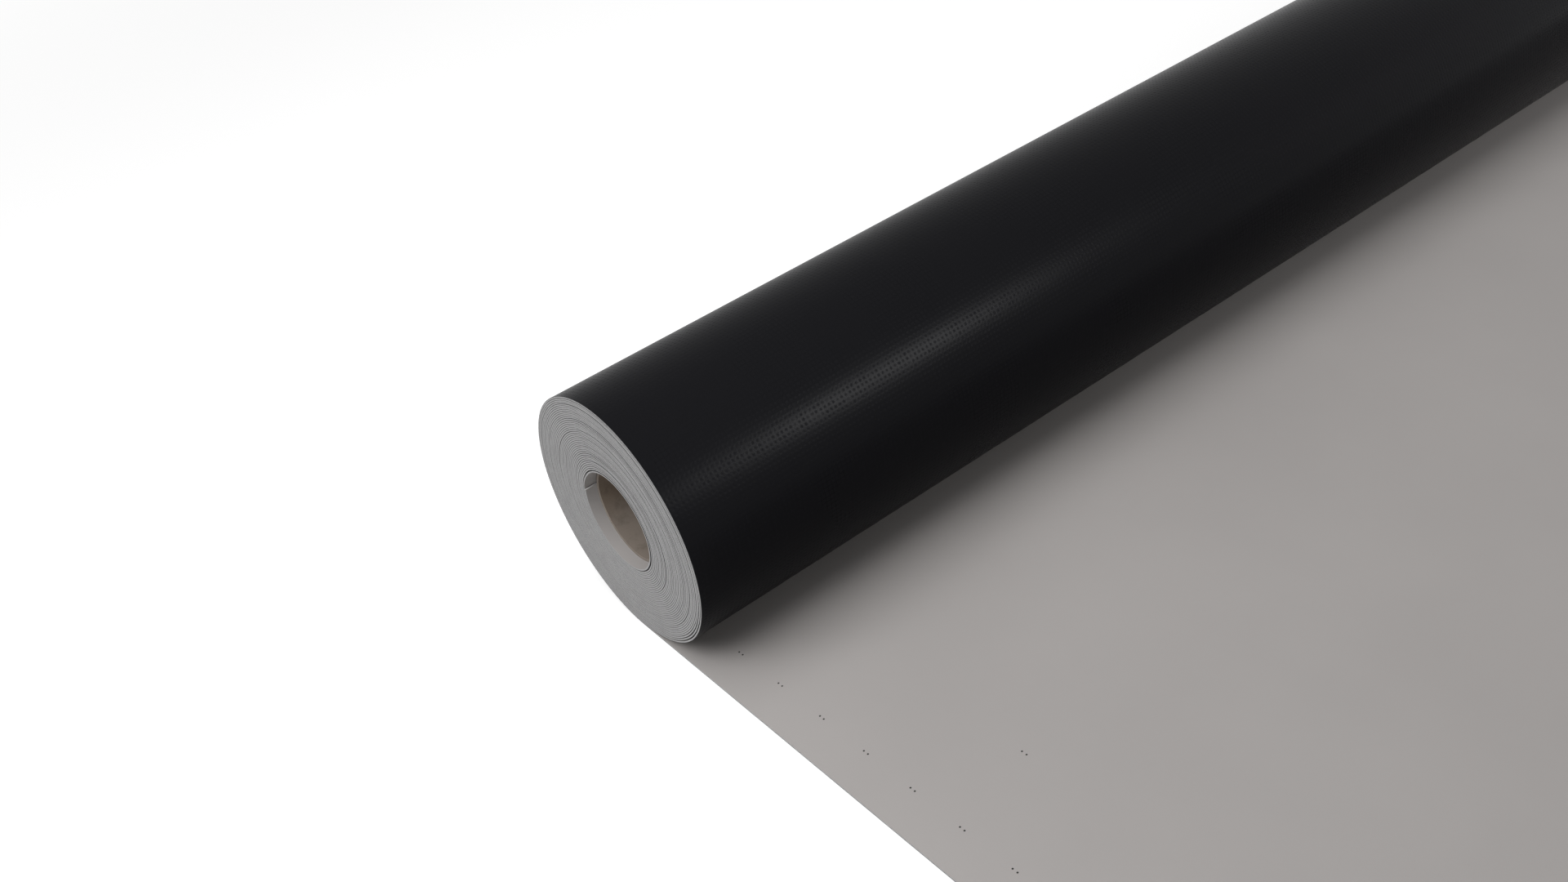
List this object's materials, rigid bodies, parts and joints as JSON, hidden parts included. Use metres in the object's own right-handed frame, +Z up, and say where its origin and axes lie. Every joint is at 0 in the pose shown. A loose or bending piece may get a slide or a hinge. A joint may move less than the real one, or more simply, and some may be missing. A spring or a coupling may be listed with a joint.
{
  "type": "roofing membrane roll",
  "caption": "Roll of two-tone PVC roofing membrane wound on an open paper core, lying on its side with its outer end unrolled flat on the floor.",
  "frame": {"origin": "on the floor straight below the roll's axis, half way along the roll", "axes": "+X along the roll's axis, -Y the way the sheet unrolls, +Z up"},
  "size_m": [2, 1.1034, 0.2068],
  "materials": {
    "membrane": "matte PVC sheet, charcoal black on the underside and outside of the roll, light grey on the upper face",
    "core_tube": "spirally wound kraft paper tube, unprinted"
  },
  "bodies": {
    "root": {"membrane": "membrane", "core_tube": "core_tube"}
  },
  "joints": []
}
